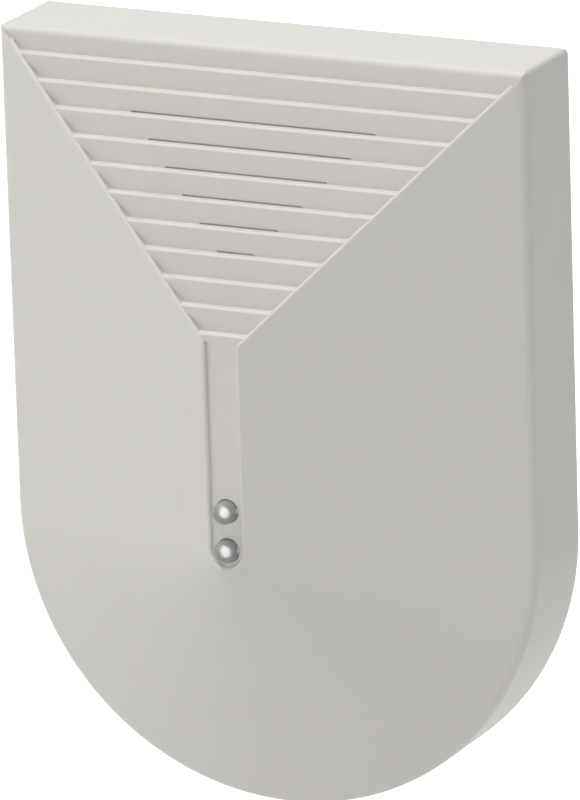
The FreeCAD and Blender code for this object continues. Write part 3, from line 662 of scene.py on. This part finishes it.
def addScrewRings(values):
    form = bmesh.new()
    front = boardFront + values["height"]
    for x, z in (values["upper"], values["lower"]):
        for side in (-1, 1):
            ring = [(values["outer"], boardFront), (values["outer"], front), (values["inner"], front)]
            addTurned(form, side * x, z, ring, 36)
    makePiece("screw_rings", form, tinFinish, "base")


addScrewRings(screwRings)

legendLines = {
    "width": 0.16, "height": 0.015, "gap": 0.5,
    "boxes": ["alarm_relay", "crystal", "voltage_regulator", "tamper_switch_body", "trimmer_body",
              "jumper_header", "signal_processor", "amplifier_left", "amplifier_right", "terminal_block"],
    "dots": [(-19.9, 16.2), (-15.9, 31.6), (9.3, 31.0), (-14.2, 0.4)],
}


def addLegend(values):
    form = bmesh.new()
    front = boardFront + values["height"]
    gap = values["gap"]
    for node in values["boxes"]:
        left, right, back, out, bottom, top = boxOf(node)
        corners = boxOutline(left - gap, right + gap, bottom - gap, top + gap)
        if node == "terminal_block":
            corners = corners[3:] + corners[:3]
            addStrip(form, [corners[1], corners[0], corners[3], corners[2]], values["width"], boardFront, front)
        else:
            addStrip(form, corners, values["width"], boardFront, front, closed=True)
    left, right, back, out, bottom, top = boxOf("microphone_boot")
    ring = roundOutline((left + right) / 2, (bottom + top) / 2, (right - left) / 2 + gap * 0.7, 48)
    addStrip(form, ring, values["width"], boardFront, front, closed=True)
    for x, z in values["dots"]:
        addSlab(form, roundOutline(x, z, 0.32, 16), boardFront, front)
    makePiece("board_legend", form, legendFinish, "base", smooth=False)


addLegend(legendLines)
print("board done")

chipLeads = {
    "pitch": 1.27, "width": 0.42, "reach": 1.05, "thickness": 0.2, "standOff": 0.15, "bodyHeight": 1.35,
    "bodyDepth": 3.9, "skin": 0.015, "padWidth": 0.62, "padReach": 1.45,
    "counts": {"signal_processor": 7, "amplifier_left": 4, "amplifier_right": 4},
}


# tinned leads, a solder pad under each, and the moulded dot beside the first
def addChipLeads(node, count, values):
    left, right, back, front, bottom, top = boxOf(node)
    x = (left + right) / 2
    z = (bottom + top) / 2
    skin = values["skin"]
    middle = back + values["standOff"] + values["bodyHeight"] / 2
    thick = values["thickness"]
    knee = values["reach"] * 0.4
    form = bmesh.new()
    for side in (-1, 1):
        edge = z + side * values["bodyDepth"] / 2
        outline = [
            (0, middle + skin), (knee + skin, middle + skin), (knee + skin, back + thick + skin),
            (values["reach"] + skin, back + thick + skin), (values["reach"] + skin, back),
            (knee - thick - skin, back), (knee - thick - skin, middle - thick - skin),
            (0, middle - thick - skin),
        ]
        outline = [(edge + side * along, out) for along, out in outline]
        for n in range(count):
            lead = x + (n - (count - 1) / 2) * values["pitch"]
            half = values["width"] / 2 + skin
            addRail(form, outline, lead - half, lead + half)
            pad = sorted((edge + side * (knee - 0.35), edge + side * values["padReach"]))
            half = values["padWidth"] / 2
            addSlab(form, boxOutline(lead - half, lead + half, *pad), back, back + 0.04)
            toe = [
                (values["reach"], back + 0.04), (values["reach"], back + thick * 0.9),
                (values["reach"] + 0.14, back + thick * 0.45), (values["padReach"] - 0.05, back + 0.04),
            ]
            toe = [(edge + side * along, out) for along, out in toe]
            addRail(form, toe, lead - half * 0.75, lead + half * 0.75)
    makePiece(node + "_leads", form, tinFinish, "base", smooth=False)
    form = bmesh.new()
    dot = [(0.34, front - 0.01), (0.34, front + 0.012), (0.26, front + 0.012), (0.22, front + 0.004)]
    addTurned(form, left + 0.7, z - values["bodyDepth"] / 2 + 0.7, dot, 24)
    makePiece(node + "_dot", form, rubberFinish, "base")


for chip, leadCount in chipLeads["counts"].items():
    addChipLeads(chip, leadCount, chipLeads)

endCaps = {"length": 2.0, "depth": 1.25, "capLength": 0.4, "skin": 0.015, "fillet": 0.34, "pad": 0.55}


# metal end caps with solder up their faces
def addEndCaps(node, columns, rows, values):
    left, right, back, front, bottom, top = boxOf(node)
    skin = values["skin"]
    form = bmesh.new()
    for x, z in gridPlaces(node, columns, rows, values["length"], values["depth"]):
        half = values["depth"] / 2 + skin
        for side in (-1, 1):
            tip = x + side * (values["length"] / 2 + skin)
            inner = x + side * (values["length"] / 2 - values["capLength"])
            addSlab(form, boxOutline(*sorted((tip, inner)), z - half, z + half), back, front + skin)
            pad = sorted((inner, tip + side * values["pad"]))
            addSlab(form, boxOutline(*pad, z - half - 0.06, z + half + 0.06), back, back + 0.035)
            rise = (front - back) * 0.75
            solder = [(tip, 0.035), (tip, rise), (tip + side * values["fillet"] * 0.3, rise * 0.4),
                      (tip + side * values["fillet"], 0.035)]
            low = [form.verts.new((a * mm, -(back + out) * mm, (z - half * 0.9) * mm)) for a, out in solder]
            high = [form.verts.new((a * mm, -(back + out) * mm, (z + half * 0.9) * mm)) for a, out in solder]
            for n in range(4):
                after = (n + 1) % 4
                form.faces.new((low[n], low[after], high[after], high[n]))
            form.faces.new(low)
            form.faces.new(high)
    makePiece(node + "_ends", form, tinFinish, "base", smooth=False)


addEndCaps("chip_resistors", 4, 2, endCaps)
addEndCaps("ceramic_capacitors", 2, 3, endCaps)

powerLeads = {"skin": 0.015, "tab": 3.0, "lead": 0.7, "pitch": 2.3, "depth": 3.5, "height": 0.533,
              "diodeLength": 4.3, "diodeDepth": 2.6, "diodeTab": 1.5, "diodeReach": 0.45}


def addPowerLeads(values):
    left, right, back, front, bottom, top = boxOf("voltage_regulator")
    x = (left + right) / 2
    z = (bottom + top) / 2
    skin = values["skin"]
    height = values["height"] + skin
    side = values["depth"] / 2
    form = bmesh.new()
    half = values["tab"] / 2 + skin
    addSlab(form, boxOutline(x - half, x + half, z + side, top + skin), back, back + height)
    pad = boxOutline(x - half - 0.2, x + half + 0.2, z + side + 0.3, top + 0.45)
    addSlab(form, pad, back, back + 0.04)
    for n in (-1, 0, 1):
        middle = x + n * values["pitch"]
        half = values["lead"] / 2 + skin
        addSlab(form, boxOutline(middle - half, middle + half, bottom - skin, z - side), back, back + height)
        pad = boxOutline(middle - half - 0.15, middle + half + 0.15, bottom - 0.45, z - side - 0.3)
        addSlab(form, pad, back, back + 0.04)
    makePiece("regulator_leads", form, tinFinish, "base", smooth=False)
    left, right, back, front, bottom, top = boxOf("protection_diodes")
    tabs = bmesh.new()
    bands = bmesh.new()
    half = values["diodeTab"] / 2
    for x, z in gridPlaces("protection_diodes", 2, 1, values["diodeLength"], values["diodeDepth"]):
        for end in (-1, 1):
            edge = x + end * values["diodeLength"] / 2
            foot = sorted((edge - end * 0.1, edge + end * values["diodeReach"]))
            upright = sorted((edge, edge + end * 0.14))
            addSlab(tabs, boxOutline(*foot, z - half, z + half), back, back + 0.22)
            addSlab(tabs, boxOutline(*upright, z - half, z + half), back, back + 1.1)
        band = x - values["diodeLength"] * 0.3
        addSlab(bands, boxOutline(band - 0.25, band + 0.25, bottom, top), front - 0.01, front + skin)
    makePiece("diode_tabs", tabs, tinFinish, "base", smooth=False)
    makePiece("diode_bands", bands, legendFinish, "base", smooth=False)


addPowerLeads(powerLeads)

canDetails = {
    "foot": 6.6, "footHeight": 1.0, "chamfer": 1.2, "skin": 0.02, "markRadius": 2.55, "markFrom": -0.9,
    "ventWidth": 0.14, "ventRadius": 1.9,
}


# black feet, tabs, the dark mark on the negative side and the vent's lines
def addCanDetails(values):
    left, right, back, front, bottom, top = boxOf("electrolytic_capacitors")
    half = values["foot"] / 2
    feet = bmesh.new()
    tabs = bmesh.new()
    marks = bmesh.new()
    vents = bmesh.new()
    for x, z in ((left + half, bottom + half), (right - half, top - half)):
        edge = half + values["skin"]
        cut = values["chamfer"]
        outline = [(-edge, -edge), (edge, -edge), (edge, edge - cut), (edge - cut, edge), (cut - edge, edge),
                   (-edge, edge - cut)]
        addSlab(feet, [(x + a, z + b) for a, b in outline], back, back + values["footHeight"] + values["skin"])
        for side in (-1, 1):
            tab = sorted((z + side * half, z + side * (half + 0.7)))
            addSlab(tabs, boxOutline(x - 0.45, x + 0.45, *tab), back, back + 0.2)
        away = math.degrees(math.acos(values["markFrom"] / values["markRadius"]))
        mark = roundOutline(x, z, values["markRadius"], 24, away, 360 - 2 * away)
        addSlab(marks, mark, front - 0.01, front + 0.012)
        for angle in (30, 150, 270):
            reach = math.radians(angle)
            tip = (x + values["ventRadius"] * math.cos(reach), z + values["ventRadius"] * math.sin(reach))
            addStrip(vents, [(x, z), tip], values["ventWidth"], front - 0.01, front + 0.018)
    makePiece("capacitor_feet", feet, blackFinish, "base", smooth=False)
    makePiece("capacitor_tabs", tabs, tinFinish, "base", smooth=False)
    makePiece("capacitor_marks", marks, rubberFinish, "base", smooth=False)
    makePiece("capacitor_vents", vents, canFinish, "base", smooth=False)


addCanDetails(canDetails)

relayDetails = {
    "baseHeight": 0.7, "skin": 0.02, "corner": 0.5, "barLength": 3.4, "barWidth": 0.35, "nibRadius": 0.55,
}


# the relay's dark base under its cover, a raised bar at one end and the filling nib
def addRelayDetails(values):
    left, right, back, front, bottom, top = boxOf("alarm_relay")
    back = boardFront
    skin = values["skin"]
    turn = values["corner"]
    outline = []
    for x, z, start in ((right - turn, top - turn, 0), (left + turn, top - turn, 90),
                        (left + turn, bottom + turn, 180), (right - turn, bottom + turn, 270)):
        outline += roundOutline(x, z, turn + skin, 6, start, 90)
    form = bmesh.new()
    addSlab(form, outline, back, back + values["baseHeight"])
    makePiece("relay_base", form, blackFinish, "base", smooth=False)
    form = bmesh.new()
    z = (bottom + top) / 2
    bar = (left + 1.3, left + 1.3 + values["barWidth"])
    reach = values["barLength"] / 2
    addSlab(form, boxOutline(*bar, z - reach, z + reach), front - 0.02, front + 0.06)
    radius = values["nibRadius"]
    nib = [(radius, front - 0.02), (radius, front + 0.06), (radius * 0.5, front + 0.14)]
    addTurned(form, right - 1.8, top - 1.8, nib, 28)
    makePiece("relay_marks", form, relayFinish, "base", smooth=False)


addRelayDetails(relayDetails)

switchFrame = {"height": 0.16, "hole": 1.75, "rivet": 0.38, "rivetInset": 0.85, "wrap": 0.18}


# a steel frame over the tamper switch, held by four rivets
def addSwitchFrame(values):
    left, right, back, front, bottom, top = boxOf("tamper_switch_body")
    x = (left + right) / 2
    z = (bottom + top) / 2
    half = (right - left) / 2
    low = front
    high = front + values["height"]
    form = bmesh.new()
    steps = 48
    rings = []
    for square, out in ((True, low), (True, high), (False, high), (False, low)):
        ring = []
        for n in range(steps):
            angle = 2 * math.pi * (n + 0.5) / steps
            c, s = math.cos(angle), math.sin(angle)
            reach = half / max(abs(c), abs(s)) if square else values["hole"]
            reach = min(reach, half * 1.32) if square else reach
            ring.append(form.verts.new(((x + reach * c) * mm, -out * mm, (z + reach * s) * mm)))
        rings.append(ring)
    for a, b in ((0, 1), (1, 2), (2, 3), (3, 0)):
        for n in range(steps):
            after = (n + 1) % steps
            form.faces.new((rings[a][n], rings[a][after], rings[b][after], rings[b][n]))
    for side in (-1, 1):
        edge = z + side * half
        wrap = sorted((edge, edge + side * values["wrap"]))
        addSlab(form, boxOutline(x - 1.2, x + 1.2, *wrap), front - 2.4, high)
    makePiece("tamper_frame", form, steelFinish, "base", smooth=False)
    form = bmesh.new()
    reach = half - values["rivetInset"]
    radius = values["rivet"]
    rivet = [(radius, high - 0.02), (radius, high + 0.08), (radius * 0.6, high + 0.14)]
    for a in (-1, 1):
        for b in (-1, 1):
            addTurned(form, x + a * reach, z + b * reach, rivet, 20)
    makePiece("tamper_rivets", form, blackFinish, "base")


addSwitchFrame(switchFrame)

dialTicks = {
    "from": -135, "to": 135, "count": 7, "inner": 2.3, "outer": 2.95, "width": 0.16, "height": 0.012,
}


# ticks round the trimmer's rotor, over the range that it turns through
def addDialTicks(values):
    left, right, back, front, bottom, top = boxOf("trimmer_body")
    x = (left + right) / 2
    z = (bottom + top) / 2
    form = bmesh.new()
    for n in range(values["count"]):
        turn = values["from"] + n * (values["to"] - values["from"]) / (values["count"] - 1)
        across, up = math.sin(math.radians(turn)), math.cos(math.radians(turn))
        line = [(x + r * across, z + r * up) for r in (values["inner"], values["outer"])]
        addStrip(form, line, values["width"], front - 0.01, front + values["height"])
    makePiece("trimmer_ticks", form, legendFinish, "base", smooth=False)


addDialTicks(dialTicks)
print("small parts done")
